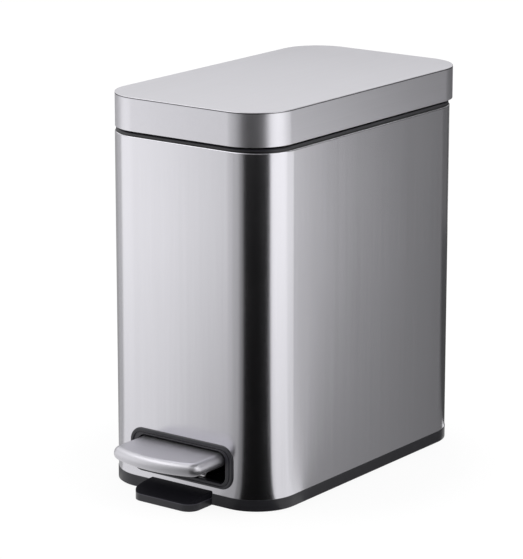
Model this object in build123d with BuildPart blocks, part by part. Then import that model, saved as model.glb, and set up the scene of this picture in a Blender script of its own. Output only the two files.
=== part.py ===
"""Slim rectangular step bin with a hinged steel lid and a lift-out inner bucket.

Millimetres, +Z up, the pedal faces -Y.  The origin is on the floor, under the
middle of the bin's overall box.  The pedal lever, the push rod and the lid's
crank are one linkage: treading on the pedal lifts the rod, which opens the lid.
"""

import os
from math import cos, radians, sin, sqrt

from build123d import *

os.makedirs("parts", exist_ok=True)

# ---------------------------------------------------------------- driving sizes
BIN_HEIGHT = 300.0
BODY_WIDTH = 157.2
BODY_DEPTH = 262.0
BODY_CORNER = 34.0
SHEET = 0.6
FIT = 0.05  # slip between pieces that are pushed together for good

LID_WIDTH = 154.7
LID_HEIGHT = 25.4
LID_CORNER = 33.5
LID_FRONT_LIP = 0.9
LID_REAR_LIP = 5.5
LID_SHEET = 0.8

PEDAL_REACH = 42.0  # how far the pedal stands out of the sleeve's front
FOOT_PROUD = 0.6

# The overall box runs from the pedal's tip to the lid's rear edge.
BODY_Y = (PEDAL_REACH - LID_REAR_LIP) / 2
FRONT = BODY_Y - BODY_DEPTH / 2
REAR = BODY_Y + BODY_DEPTH / 2

# ------------------------------------------------------------- levels and walls
SKIRT_TOP = 9.3
SKIRT_PROUD = 0.3
SKIRT_WALL = 3.0
FLOOR_UNDER = 1.6
FLOOR_TOP = 3.6
UPSTAND_TOP = 20.0
MOULDED = 2.0  # wall of the moulded parts

SLEEVE_TOP = 270.5
RING_TOP = 273.2
RING_BOTTOM = 255.0
RING_INSET = 0.9
RING_BEAD = 0.8
LID_BOTTOM = BIN_HEIGHT - LID_HEIGHT

# ------------------------------------------------------------------ bucket well
WELL_WIDTH = 143.0
WELL_FRONT = FRONT + 6.0
WELL_REAR = REAR - 34.0
WELL_DEPTH = WELL_REAR - WELL_FRONT
WELL_Y = (WELL_FRONT + WELL_REAR) / 2
WELL_FRONT_CORNER = 27.0
WELL_REAR_CORNER = 20.0
LEDGE_TOP = 264.5
LEDGE_REACH = 3.5
SCOOP_LENGTH = 46.0
SCOOP_DEPTH = 3.2

BUCKET_PLAY = 0.6
BUCKET_RIM = 2.0
BUCKET_WALL = 1.8
BUCKET_NECK = 4.2  # from the well's edge in to the bucket's wall
BUCKET_BOTTOM = 42.0
BUCKET_TAPER = 1.4
BUCKET_BOTTOM_ROUND = 9.0

# -------------------------------------------------------------- lid hinge, crank
HINGE_Y = REAR - 6.0
HINGE_Z = 268.0
HINGE_PIN_R = 2.0
HINGE_BARREL_R = 4.5
HINGE_EAR_R = 4.9
HINGE_X = 36.5
LUG_WIDTH = 10.0
EAR_WIDTH = 4.0
EAR_GAP = 1.0
RUNNING = 0.06  # radial clearance of a pin in the piece that turns on it

LID_SWING = 80.0
CRANK_R = 15.0
CRANK_REST = 220.0  # direction from the hinge, from +Y towards +Z
CRANK_X = 16.0
CRANK_WIDTH = 4.0
CRANK_EYE_R = 5.2
CRANK_Y = HINGE_Y + CRANK_R * cos(radians(CRANK_REST))
CRANK_Z = HINGE_Z + CRANK_R * sin(radians(CRANK_REST))

ROD_R = 2.0
ROD_X = 22.5
ROD_BEND = 4.0
ROD_END_X = 10.5
TOP_CLIP_X = 12.6
LOW_CLIP_X = 14.8
CLIP_R = 4.4
CLIP_WIDTH = 1.6

# ------------------------------------------------------------------ pedal linkage
PIVOT_Y = BODY_Y - 33.0
PIVOT_Z = 23.0
PIVOT_PIN_R = 2.5
ROD_LIFT = 2 * CRANK_R * sin(radians(LID_SWING / 2))
HOOK_Z = PIVOT_Z - ROD_LIFT / 2

LEVER_HALF = 18.0
LEVER_SHEET = 1.5
SLOT_TRAVEL = CRANK_R * (1 - cos(radians(LID_SWING / 2)))
SLOT_HALF_HEIGHT = ROD_R + 0.65
SLOT_RISE = 0.17  # the hook rides a little high in mid travel
SLOT_END_PLAY = 0.5

BUSH_R = 4.0
BUSH_COLLAR_R = 5.6
BUSH_COLLAR = 1.4
BUSH_END_X = 20.5

POST_X = 22.0
POST_WIDTH = 10.0
POST_HALF_LENGTH = 9.5
PIN_HALF_LENGTH = POST_X + POST_WIDTH - 2.0
PIN_END_PLAY = 0.5
CAP_HEIGHT = 6.5
SCREW_Y = 6.3
SCREW_R = 1.4
SCREW_HOLE_R = 1.6
SCREW_HEAD_R = 2.8
SCREW_HEAD = 1.8
SCREW_LENGTH = 15.0
SCREW_TIP_ROOM = 0.5

DAMPER_Y = BODY_Y + 30.0
DAMPER_R = 7.0
DAMPER_TOP = 18.0
DAMPER_BORE_R = 4.6
DAMPER_LID = 1.5
DAMPER_EDGE = 0.8
PISTON_R = 4.5
PISTON_BOTTOM = 4.8
PISTON = 3.0
PLUNGER_R = 2.0
PLUNGER_TIP_R = 3.4

# -------------------------------------------------------------- pedal and opening
PEDAL_HALF = 40.0
PEDAL_BOTTOM = 31.4
PEDAL_TOP = 42.0
PEDAL_EDGE = 5.2
PEDAL_BEVEL = 3.2  # of the block inside the sheet
PEDAL_CORNER = 9.0
PEDAL_BOW = 8.5  # how far the front edge swells between its corners
PEDAL_REAR = FRONT + 6.0
PEDAL_SHEET = 0.8
PEDAL_HEM = 4.0

WINDOW_HALF = 43.2
WINDOW_LOW = 15.8
WINDOW_HIGH = 45.4
WINDOW_CORNER = 9.0

BEZEL_HALF = 48.3
BEZEL_LOW = 14.4
BEZEL_HIGH = 48.4
BEZEL_CORNER = 11.0
BEZEL_PROUD = 1.2
BEZEL_LIP = 2.2
BEZEL_STEP = 0.5
BEZEL_EDGE = 0.6
OPENING_HALF = 41.2
OPENING_LOW = 17.8
OPENING_HIGH = 43.4
OPENING_CORNER = 7.0
COLLAR_DEPTH = 5.6
COLLAR_WALL = 1.6

TOE_HALF = 28.8
TOE_REACH = 25.5
TOE_FRONT_TOP = 7.0
TOE_REAR_TOP = 11.2
TOE_CROWN_TOP = 9.9
TOE_CROWN_REACH = 14.0
TOE_CORNER = 14.0
TOE_POCKET_CORNER = 10.0
TOE_ROOF = 4.6
TOE_EDGE = 0.7

FOOT_PAD_R = 8.0
FOOT_PAD_X = 56.0
FOOT_PAD_Y = 104.0


def body_plane(z):
    """The horizontal plane at height z, centred on the sleeve."""
    return Plane((0, BODY_Y, z))


def front_plane(y):
    """The upright plane across the bin at depth y; its normal points to -Y."""
    return Plane.XZ.offset(-y)


def side_plane(x):
    """The upright plane along the bin at x, drawn in (y, z)."""
    return Plane.YZ.offset(x)


def sleeve_outline(inset):
    """Plan of the bin, drawn in by inset from the sleeve's outside."""
    return RectangleRounded(BODY_WIDTH - 2 * inset, BODY_DEPTH - 2 * inset, BODY_CORNER - inset)


def well_outline(inset):
    """Plan of the bucket well: wide corners in front, tighter ones behind."""
    with BuildSketch() as plan:
        Rectangle(WELL_WIDTH - 2 * inset, WELL_DEPTH - 2 * inset)
        fillet(plan.vertices().group_by(Axis.Y)[-1], WELL_REAR_CORNER - inset)
        fillet(plan.vertices().group_by(Axis.Y)[0], WELL_FRONT_CORNER - inset)
    return plan.sketch


def save(part, label):
    """Label a finished piece and write it under that name."""
    part.label = label
    export_step(part, f"parts/{label}.step")


# ------------------------------------------------------------------- outer_shell
# One wrapped sheet, open at both ends, with a window for the pedal.
with BuildPart() as outer_shell:
    with BuildSketch(body_plane(SKIRT_TOP)):
        add(sleeve_outline(0))
        add(sleeve_outline(SHEET), mode=Mode.SUBTRACT)
    extrude(amount=SLEEVE_TOP - SKIRT_TOP)
    with BuildSketch(front_plane(FRONT)):
        with Locations((0, (WINDOW_LOW + WINDOW_HIGH) / 2)):
            RectangleRounded(2 * WINDOW_HALF, WINDOW_HIGH - WINDOW_LOW, WINDOW_CORNER)
    extrude(amount=BODY_CORNER / 2, both=True, mode=Mode.SUBTRACT)

# ---------------------------------------------------------------------- top_ring
# Deck on the sleeve's edge, a skirt inside the sleeve, and the bucket's well.
NOTCH_X = LUG_WIDTH / 2 + EAR_GAP
NOTCH_DROP = 5.5
EAR_REAR = REAR - SHEET - 2 * FIT
CRANK_SLOT_LOW = ROD_END_X - 2.0
CRANK_SLOT_HIGH = ROD_X + ROD_R + 1.5
CRANK_SLOT_FRONT = HINGE_Y - 23.0
CRANK_SLOT_REAR = HINGE_Y + 4.0
CRANK_SLOT_WIDTH = CRANK_SLOT_HIGH - CRANK_SLOT_LOW
CRANK_SLOT_X = (CRANK_SLOT_LOW + CRANK_SLOT_HIGH) / 2
CRANK_SLOT_Y = (CRANK_SLOT_FRONT + CRANK_SLOT_REAR) / 2
CRANK_SLOT_CORNER = 2.0
LUG_SLOT_FRONT = HINGE_Y - 21.0
HINGE_BORE_LENGTH = 2 * (HINGE_X + NOTCH_X + EAR_WIDTH) + 4.0

with BuildPart() as top_ring:
    with BuildSketch(body_plane(SLEEVE_TOP)):
        add(sleeve_outline(RING_INSET))
    extrude(amount=RING_TOP - SLEEVE_TOP)
    chamfer(top_ring.faces().sort_by(Axis.Z)[-1].edges(), RING_BEAD)
    with BuildSketch(body_plane(RING_BOTTOM)):
        add(sleeve_outline(SHEET + FIT))
        add(sleeve_outline(SHEET + FIT + MOULDED), mode=Mode.SUBTRACT)
    extrude(amount=SLEEVE_TOP - RING_BOTTOM)
    with BuildSketch(Plane((0, WELL_Y, LEDGE_TOP - MOULDED))):
        add(well_outline(-MOULDED))
    extrude(amount=SLEEVE_TOP - LEDGE_TOP + MOULDED)
    with BuildSketch(Plane((0, WELL_Y, RING_BOTTOM))):
        add(well_outline(LEDGE_REACH))
    extrude(amount=BIN_HEIGHT - RING_BOTTOM, mode=Mode.SUBTRACT)
    with BuildSketch(Plane((0, WELL_Y, LEDGE_TOP))):
        add(well_outline(0))
        with Locations((-WELL_WIDTH / 2, 0), (WELL_WIDTH / 2, 0)):
            SlotOverall(SCOOP_LENGTH, 2 * SCOOP_DEPTH, rotation=90)
    extrude(amount=BIN_HEIGHT - LEDGE_TOP, mode=Mode.SUBTRACT)
    for side in (-1, 1):
        for ear in (-1, 1):
            ear_x = side * HINGE_X + ear * (NOTCH_X + EAR_WIDTH / 2)
            with BuildSketch(side_plane(ear_x)):
                with Locations((HINGE_Y, HINGE_Z)):
                    Circle(HINGE_EAR_R)
                with BuildLine():
                    Polyline(
                        (HINGE_Y - HINGE_EAR_R, HINGE_Z),
                        (EAR_REAR, HINGE_Z),
                        (EAR_REAR, RING_BOTTOM),
                        (HINGE_Y, RING_BOTTOM),
                        close=True,
                    )
                make_face()
            extrude(amount=EAR_WIDTH / 2, both=True)
        with Locations((side * HINGE_X, LUG_SLOT_FRONT, HINGE_Z - NOTCH_DROP)):
            Box(
                2 * NOTCH_X,
                REAR - LUG_SLOT_FRONT,
                BIN_HEIGHT - HINGE_Z,
                align=(Align.CENTER, Align.MIN, Align.MIN),
                mode=Mode.SUBTRACT,
            )
    with Locations((0, HINGE_Y, HINGE_Z)):
        Cylinder(HINGE_PIN_R + FIT, HINGE_BORE_LENGTH, rotation=(0, 90, 0), mode=Mode.SUBTRACT)
    with BuildSketch(Plane((CRANK_SLOT_X, CRANK_SLOT_Y, RING_BOTTOM))):
        RectangleRounded(CRANK_SLOT_WIDTH, CRANK_SLOT_REAR - CRANK_SLOT_FRONT, CRANK_SLOT_CORNER)
    extrude(amount=BIN_HEIGHT - RING_BOTTOM, mode=Mode.SUBTRACT)

# -------------------------------------------------------------------------- base
# A moulded tray: visible skirt, floor with ribs, upstand inside the sleeve,
# the toe in front, bearing posts for the pedal lever and a seat for the damper.
UPSTAND_GAP_HALF = 50.0
RIB_X = (30.0, 44.0, 58.0)
RIB_Y = (-92.0, -60.0, 25.0, 57.0, 89.0)
RIB_HEIGHT = 3.0
RIB_WIDTH = 1.6
SEAT_HEIGHT = 6.0
SEAT_WALL = 2.0

with BuildPart() as base:
    with BuildSketch(body_plane(FOOT_PROUD)):
        add(sleeve_outline(-SKIRT_PROUD))
        add(sleeve_outline(SKIRT_WALL - SKIRT_PROUD), mode=Mode.SUBTRACT)
    extrude(amount=SKIRT_TOP - FOOT_PROUD)
    with BuildSketch(body_plane(FLOOR_UNDER)):
        add(sleeve_outline(MOULDED))
    extrude(amount=FLOOR_TOP - FLOOR_UNDER)
    with BuildSketch(body_plane(FLOOR_TOP)):
        add(sleeve_outline(SHEET + FIT))
        add(sleeve_outline(SHEET + FIT + MOULDED), mode=Mode.SUBTRACT)
    extrude(amount=UPSTAND_TOP - FLOOR_TOP)
    with Locations((0, FRONT, SKIRT_TOP)):
        Box(
            2 * UPSTAND_GAP_HALF,
            BODY_CORNER,
            BIN_HEIGHT,
            align=(Align.CENTER, Align.CENTER, Align.MIN),
            mode=Mode.SUBTRACT,
        )
    # Toe: a low tongue with a falling top, hollow below.
    with BuildSketch(side_plane(0)):
        with BuildLine():
            toe_back = (FRONT, TOE_REAR_TOP)
            toe_front = (FRONT - TOE_REACH, TOE_FRONT_TOP)
            toe_crown = (FRONT - TOE_CROWN_REACH, TOE_CROWN_TOP)
            ThreePointArc(toe_back, toe_crown, toe_front)
            Polyline(
                toe_front,
                (FRONT - TOE_REACH, FOOT_PROUD),
                (FRONT, FOOT_PROUD),
                toe_back,
            )
        make_face()
    extrude(amount=TOE_HALF, both=True)
    toe_corners = base.edges().filter_by(Axis.Z).group_by(Axis.Y)[0]
    fillet(toe_corners, TOE_CORNER)
    toe_edges = base.edges().filter_by(Axis.Z, reverse=True)
    toe_rim = toe_edges.filter_by(
        lambda edge: edge.center().Y < FRONT - SKIRT_WALL and edge.center().Z > TOE_ROOF
    )
    chamfer(toe_rim, TOE_EDGE)
    with BuildSketch(Plane.XY.offset(FOOT_PROUD)):
        with Locations((0, FRONT - TOE_REACH / 2)):
            RectangleRounded(2 * (TOE_HALF - MOULDED), TOE_REACH - 2 * MOULDED, TOE_POCKET_CORNER)
    extrude(amount=TOE_ROOF - FOOT_PROUD, mode=Mode.SUBTRACT)
    # Floor ribs, kept clear of the lever's channel.
    for side in (-1, 1):
        for rib_x in RIB_X:
            with Locations((side * rib_x, BODY_Y, FLOOR_TOP)):
                Box(
                    RIB_WIDTH,
                    BODY_DEPTH - 2 * BODY_CORNER,
                    RIB_HEIGHT,
                    align=(Align.CENTER, Align.CENTER, Align.MIN),
                )
        for rib_y in RIB_Y:
            with Locations((side * (RIB_X[0] + RIB_X[-1]) / 2, BODY_Y + rib_y, FLOOR_TOP)):
                Box(
                    RIB_X[-1] - RIB_X[0] + RIB_WIDTH,
                    RIB_WIDTH,
                    RIB_HEIGHT,
                    align=(Align.CENTER, Align.CENTER, Align.MIN),
                )
    # Bearing posts, split at the pivot's height.
    for side in (-1, 1):
        with Locations((side * (POST_X + POST_WIDTH / 2), PIVOT_Y, FLOOR_TOP)):
            Box(
                POST_WIDTH,
                2 * POST_HALF_LENGTH,
                PIVOT_Z - FLOOR_TOP,
                align=(Align.CENTER, Align.CENTER, Align.MIN),
            )
            for end in (-1, 1):
                with Locations((0, end * SCREW_Y, PIVOT_Z - FLOOR_TOP)):
                    Hole(SCREW_HOLE_R, depth=SCREW_LENGTH - CAP_HEIGHT)
    with Locations((0, PIVOT_Y, PIVOT_Z)):
        Cylinder(
            PIVOT_PIN_R + FIT,
            2 * (PIN_HALF_LENGTH + PIN_END_PLAY),
            rotation=(0, 90, 0),
            mode=Mode.SUBTRACT,
        )
    # Damper seat.
    with BuildSketch(Plane((0, DAMPER_Y, FLOOR_TOP))):
        Circle(DAMPER_R + FIT + SEAT_WALL)
        Circle(DAMPER_R + FIT, mode=Mode.SUBTRACT)
    extrude(amount=SEAT_HEIGHT)

# ------------------------------------------------------------------- rubber_feet
with BuildPart() as rubber_feet:
    with BuildSketch():
        for pad_y in (BODY_Y - FOOT_PAD_Y, BODY_Y + FOOT_PAD_Y):
            with Locations((-FOOT_PAD_X, pad_y), (FOOT_PAD_X, pad_y)):
                Circle(FOOT_PAD_R)
    extrude(amount=FLOOR_UNDER)

# ------------------------------------------------------------------- pedal_bezel
# Frame round the pedal's opening: raised lip, a step in, and a collar through
# the sleeve with a snap on each side.
BEZEL_Z = (BEZEL_LOW + BEZEL_HIGH) / 2
OPENING_Z = (OPENING_LOW + OPENING_HIGH) / 2
SNAP_LENGTH = 12.0
SNAP_HEIGHT = 1.4

with BuildPart() as pedal_bezel:
    with BuildSketch(front_plane(FRONT)):
        with Locations((0, BEZEL_Z)):
            RectangleRounded(2 * BEZEL_HALF, BEZEL_HIGH - BEZEL_LOW, BEZEL_CORNER)
    extrude(amount=BEZEL_PROUD)
    chamfer(pedal_bezel.faces().sort_by(Axis.Y)[0].edges(), BEZEL_EDGE)
    with BuildSketch(front_plane(FRONT - BEZEL_PROUD)):
        with Locations((0, BEZEL_Z)):
            RectangleRounded(
                2 * (BEZEL_HALF - BEZEL_LIP),
                BEZEL_HIGH - BEZEL_LOW - 2 * BEZEL_LIP,
                BEZEL_CORNER - BEZEL_LIP,
            )
    extrude(amount=-BEZEL_STEP, mode=Mode.SUBTRACT)
    with BuildSketch(front_plane(FRONT)):
        with Locations((0, OPENING_Z)):
            RectangleRounded(
                2 * (OPENING_HALF + COLLAR_WALL),
                OPENING_HIGH - OPENING_LOW + 2 * COLLAR_WALL,
                OPENING_CORNER + COLLAR_WALL,
            )
    extrude(amount=-COLLAR_DEPTH)
    for side in (-1, 1):
        with Locations((side * (OPENING_HALF + COLLAR_WALL), FRONT + SHEET + FIT, OPENING_Z)):
            Box(
                2 * SNAP_HEIGHT,
                COLLAR_DEPTH - SHEET - FIT,
                SNAP_LENGTH,
                align=(Align.CENTER, Align.MIN, Align.CENTER),
            )
    with BuildSketch(front_plane(FRONT - BEZEL_PROUD)):
        with Locations((0, OPENING_Z)):
            RectangleRounded(2 * OPENING_HALF, OPENING_HIGH - OPENING_LOW, OPENING_CORNER)
    extrude(amount=-BODY_CORNER, mode=Mode.SUBTRACT)

# --------------------------------------------------------------- pedal_pivot_pin
with BuildPart() as pedal_pivot_pin:
    with BuildSketch(side_plane(0)):
        with Locations((PIVOT_Y, PIVOT_Z)):
            Circle(PIVOT_PIN_R)
    extrude(amount=PIN_HALF_LENGTH, both=True)

# -------------------------------------------------------------------- pivot_caps
# The upper half of each bearing, screwed down on its post.
CAP_ROUND = 2.0

with BuildPart() as pivot_caps:
    for side in (-1, 1):
        with Locations((side * (POST_X + POST_WIDTH / 2), PIVOT_Y, PIVOT_Z)):
            Box(
                POST_WIDTH,
                2 * POST_HALF_LENGTH,
                CAP_HEIGHT,
                align=(Align.CENTER, Align.CENTER, Align.MIN),
            )
    fillet(pivot_caps.faces().group_by(Axis.Z)[-1].edges().filter_by(Axis.X), CAP_ROUND)
    for side in (-1, 1):
        with Locations((side * (POST_X + POST_WIDTH / 2), PIVOT_Y, PIVOT_Z + CAP_HEIGHT)):
            for end in (-1, 1):
                with Locations((0, end * SCREW_Y, 0)):
                    Hole(SCREW_HOLE_R, depth=CAP_HEIGHT)
    with Locations((0, PIVOT_Y, PIVOT_Z)):
        Cylinder(
            PIVOT_PIN_R + FIT,
            2 * (PIN_HALF_LENGTH + PIN_END_PLAY),
            rotation=(0, 90, 0),
            mode=Mode.SUBTRACT,
        )

# ------------------------------------------------------------------ pivot_screws
with BuildPart() as pivot_screws:
    for side in (-1, 1):
        for end in (-1, 1):
            screw_x = side * (POST_X + POST_WIDTH / 2)
            screw_y = PIVOT_Y + end * SCREW_Y
            with BuildSketch(Plane((screw_x, screw_y, PIVOT_Z + CAP_HEIGHT))):
                Circle(SCREW_HEAD_R)
            extrude(amount=SCREW_HEAD)
            with BuildSketch(Plane((screw_x, screw_y, PIVOT_Z + CAP_HEIGHT))):
                Circle(SCREW_R)
            extrude(amount=SCREW_TIP_ROOM - SCREW_LENGTH)

# ----------------------------------------------------------------- damper_cylinder
with BuildPart() as damper_cylinder:
    with BuildSketch(Plane((0, DAMPER_Y, FLOOR_TOP))):
        Circle(DAMPER_R)
    extrude(amount=DAMPER_TOP - FLOOR_TOP)
    chamfer(damper_cylinder.faces().sort_by(Axis.Z)[-1].edges(), DAMPER_EDGE)
    with BuildSketch(Plane((0, DAMPER_Y, PISTON_BOTTOM - FIT))):
        Circle(DAMPER_BORE_R)
    extrude(amount=DAMPER_TOP - DAMPER_LID - PISTON_BOTTOM + FIT, mode=Mode.SUBTRACT)
    with BuildSketch(Plane((0, DAMPER_Y, PISTON_BOTTOM))):
        Circle(PLUNGER_R + RUNNING)
    extrude(amount=DAMPER_TOP, mode=Mode.SUBTRACT)

# ------------------------------------------------------------------- pedal_lever
# A folded steel channel.  The web runs out into the pedal; the flanges carry
# the bushings and, at the back, the slot for the push rod's hook.
WEB_TOP = 36.0
WEB_FRONT = FRONT - 30.0
FLANGE_FRONT = FRONT + 6.6
FLANGE_FRONT_LOW = 18.0
BEND_Y = FRONT + 31.0
PIVOT_WEB = 31.0
PIVOT_FLANGE_LOW = 15.5
TAIL_Y = BODY_Y + 121.0
TAIL_WEB = 20.5
TAIL_LOW = 7.0
FLANGE_CORNER = 3.0

with BuildPart() as pedal_lever:
    with BuildSketch(side_plane(0)):
        with BuildLine():
            Polyline(
                (FLANGE_FRONT, FLANGE_FRONT_LOW),
                (FLANGE_FRONT, WEB_TOP),
                (BEND_Y, WEB_TOP),
                (PIVOT_Y, PIVOT_WEB),
                (TAIL_Y, TAIL_WEB),
                (TAIL_Y, TAIL_LOW),
                (PIVOT_Y, PIVOT_FLANGE_LOW),
                close=True,
            )
        make_face()
    extrude(amount=LEVER_HALF, both=True)
    with BuildSketch(side_plane(0)):
        with BuildLine():
            Polyline(
                (FLANGE_FRONT, 0),
                (FLANGE_FRONT, WEB_TOP - LEVER_SHEET),
                (BEND_Y, WEB_TOP - LEVER_SHEET),
                (PIVOT_Y, PIVOT_WEB - LEVER_SHEET),
                (TAIL_Y, TAIL_WEB - LEVER_SHEET),
                (TAIL_Y, 0),
                close=True,
            )
        make_face()
    extrude(amount=LEVER_HALF - LEVER_SHEET, both=True, mode=Mode.SUBTRACT)
    cross_edges = pedal_lever.edges().filter_by(Axis.X)
    low_edges = cross_edges.filter_by(lambda edge: edge.center().Z < FLANGE_FRONT_LOW + FIT)
    fillet(low_edges.group_by(Axis.Y)[0] + low_edges.group_by(Axis.Y)[-1], FLANGE_CORNER)
    with BuildSketch(Plane.XY.offset(WEB_TOP)):
        with Locations((0, (WEB_FRONT + FLANGE_FRONT) / 2)):
            Rectangle(2 * LEVER_HALF, FLANGE_FRONT - WEB_FRONT)
    extrude(amount=-LEVER_SHEET)
    with Locations((0, PIVOT_Y, PIVOT_Z)):
        Cylinder(BUSH_R + FIT, 3 * LEVER_HALF, rotation=(0, 90, 0), mode=Mode.SUBTRACT)
    with BuildSketch(side_plane(LEVER_HALF)):
        with Locations((CRANK_Y - SLOT_TRAVEL / 2, HOOK_Z + SLOT_RISE)):
            SlotCenterToCenter(SLOT_TRAVEL + 2 * SLOT_END_PLAY, 2 * SLOT_HALF_HEIGHT)
    extrude(amount=LEVER_SHEET, both=True, mode=Mode.SUBTRACT)

# --------------------------------------------------------------- pivot_bushings
with BuildPart() as pivot_bushings:
    for side in (-1, 1):
        collar_x = side * (LEVER_HALF - LEVER_SHEET - FIT)
        with BuildSketch(side_plane(collar_x)):
            with Locations((PIVOT_Y, PIVOT_Z)):
                Circle(BUSH_COLLAR_R)
        extrude(amount=-side * BUSH_COLLAR)
        with BuildSketch(side_plane(collar_x)):
            with Locations((PIVOT_Y, PIVOT_Z)):
                Circle(BUSH_R)
        extrude(amount=side * (BUSH_END_X - abs(collar_x)))
    with Locations((0, PIVOT_Y, PIVOT_Z)):
        Cylinder(PIVOT_PIN_R + RUNNING, 3 * LEVER_HALF, rotation=(0, 90, 0), mode=Mode.SUBTRACT)


# ------------------------------------------------------- pedal_cap and pedal_core
def pedal_form(inset):
    """The pedal's block, drawn in by inset: bowed front and a bullnose edge.

    Inside the sheet the bullnose is matched by a plain bevel.
    """
    half = PEDAL_HALF - inset
    swell_r = (PEDAL_HALF**2 + PEDAL_BOW**2) / (2 * PEDAL_BOW)
    swell_y = FRONT - PEDAL_REACH + swell_r
    nose_y = FRONT - PEDAL_REACH + inset
    side_y = swell_y - sqrt((swell_r - inset) ** 2 - half**2)
    with BuildPart() as block:
        with BuildSketch(Plane.XY.offset(PEDAL_BOTTOM + inset)) as plan:
            with BuildLine():
                Polyline((half, side_y), (half, PEDAL_REAR), (-half, PEDAL_REAR), (-half, side_y))
                ThreePointArc((-half, side_y), (0, nose_y), (half, side_y))
            make_face()
            nose_corners = plan.vertices().sort_by(Axis.Y)[:2]
            fillet(nose_corners, PEDAL_CORNER - inset)
        extrude(amount=PEDAL_TOP - PEDAL_BOTTOM - 2 * inset)
        rims = block.edges().group_by(Axis.Z)[-1] + block.edges().group_by(Axis.Z)[0]
        rims = rims.filter_by(lambda edge: edge.center().Y < PEDAL_REAR - FIT)
        if inset:
            chamfer(rims, PEDAL_BEVEL)
        else:
            fillet(rims, PEDAL_EDGE)
    return block.part


with BuildPart() as pedal_cap:
    add(pedal_form(0))
    add(pedal_form(PEDAL_SHEET), mode=Mode.SUBTRACT)
    with BuildSketch(Plane.XY.offset(PEDAL_BOTTOM)):
        with Locations((0, PEDAL_REAR)):
            RectangleRounded(
                2 * (PEDAL_HALF - PEDAL_EDGE - PEDAL_HEM),
                2 * (PEDAL_REACH - PEDAL_BOW - 2 * PEDAL_SHEET),
                PEDAL_CORNER,
            )
    extrude(amount=2 * PEDAL_SHEET, mode=Mode.SUBTRACT)

with BuildPart() as pedal_core:
    add(pedal_form(PEDAL_SHEET + FIT))
    with Locations((0, PEDAL_REAR, WEB_TOP - LEVER_SHEET / 2)):
        Box(
            2 * (LEVER_HALF + FIT),
            2 * (PEDAL_REAR - WEB_FRONT + FIT),
            LEVER_SHEET + 2 * FIT,
            mode=Mode.SUBTRACT,
        )

# ---------------------------------------------------------------------- push_rod
# One wire, hooked at both ends: the top hook turns in the crank's eye, the
# bottom one slides in the lever's slot.
with BuildPart() as push_rod:
    with BuildLine() as wire:
        FilletPolyline(
            (ROD_END_X, CRANK_Y, CRANK_Z),
            (ROD_X, CRANK_Y, CRANK_Z),
            (ROD_X, CRANK_Y, HOOK_Z),
            (ROD_END_X, CRANK_Y, HOOK_Z),
            radius=ROD_BEND,
        )
    with BuildSketch(Plane((ROD_END_X, CRANK_Y, CRANK_Z), z_dir=(1, 0, 0))):
        Circle(ROD_R)
    sweep()

# --------------------------------------------------------------------- rod_clips
with BuildPart() as rod_clips:
    for clip_x, hook_z in ((TOP_CLIP_X, CRANK_Z), (LOW_CLIP_X, HOOK_Z)):
        with BuildSketch(side_plane(clip_x)):
            with Locations((CRANK_Y, hook_z)):
                Circle(CLIP_R)
                Circle(ROD_R + FIT, mode=Mode.SUBTRACT)
        extrude(amount=CLIP_WIDTH / 2, both=True)

# ---------------------------------------------------------------- damper_plunger
PLUNGER_GAP = 0.3
WEB_SLOPE = (PIVOT_WEB - TAIL_WEB) / (TAIL_Y - PIVOT_Y)
WEB_UNDER = PIVOT_WEB - LEVER_SHEET - WEB_SLOPE * (DAMPER_Y - PIVOT_Y)
PLUNGER_TOP = WEB_UNDER - PLUNGER_GAP
PLUNGER_HEAD = 2.6
PLUNGER_EDGE = 1.0

with BuildPart() as damper_plunger:
    with BuildSketch(Plane((0, DAMPER_Y, PISTON_BOTTOM))):
        Circle(PISTON_R)
    extrude(amount=PISTON)
    with BuildSketch(Plane((0, DAMPER_Y, PISTON_BOTTOM))):
        Circle(PLUNGER_R)
    extrude(amount=PLUNGER_TOP - PISTON_BOTTOM)
    with BuildSketch(Plane((0, DAMPER_Y, PLUNGER_TOP - PLUNGER_HEAD))):
        Circle(PLUNGER_TIP_R)
    extrude(amount=PLUNGER_HEAD)
    chamfer(damper_plunger.faces().sort_by(Axis.Z)[-1].edges(), PLUNGER_EDGE)

# ------------------------------------------------------------------- hinge_pins
with BuildPart() as hinge_pins:
    for side in (-1, 1):
        with BuildSketch(side_plane(side * HINGE_X)):
            with Locations((HINGE_Y, HINGE_Z)):
                Circle(HINGE_PIN_R)
        extrude(amount=NOTCH_X + EAR_WIDTH, both=True)

# --------------------------------------------------------------------- lid_shell
LID_FRONT = FRONT - LID_FRONT_LIP
LID_REAR = REAR + LID_REAR_LIP
LID_DEPTH = LID_REAR - LID_FRONT
LID_Y = (LID_FRONT + LID_REAR) / 2
LID_EDGE = 0.6


def lid_plane(z):
    """The horizontal plane at height z, centred on the lid."""
    return Plane((0, LID_Y, z))


def lid_outline(inset):
    """Plan of the lid, drawn in by inset."""
    return RectangleRounded(LID_WIDTH - 2 * inset, LID_DEPTH - 2 * inset, LID_CORNER - inset)


with BuildPart() as lid_shell:
    with BuildSketch(lid_plane(LID_BOTTOM)):
        add(lid_outline(0))
    extrude(amount=LID_HEIGHT)
    fillet(lid_shell.faces().sort_by(Axis.Z)[-1].edges(), LID_EDGE)
    with BuildSketch(lid_plane(LID_BOTTOM)):
        add(lid_outline(LID_SHEET))
    extrude(amount=LID_HEIGHT - LID_SHEET, mode=Mode.SUBTRACT)

# --------------------------------------------------------------------- lid_liner
# Moulded underside of the lid: a flange round the edge, a raised panel in the
# middle, two hinge lugs and the crank that the push rod lifts.
LINER_UNDER = HINGE_Z + 8.6
LINER_RISE = 3.0
LINER_MARGIN = 13.0
LINER_WALL_TOP = BIN_HEIGHT - 6.0
PANEL_REAR_MARGIN = 36.0
PANEL_CORNER = 20.0
LINER_EDGE = LID_SHEET + FIT
PLATE_ROOT = 1.0  # how far the crank's plate runs up into the flange
CRANK_ROOT_FRONT = 21.0
CRANK_ROOT_REAR = 6.0

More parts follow.
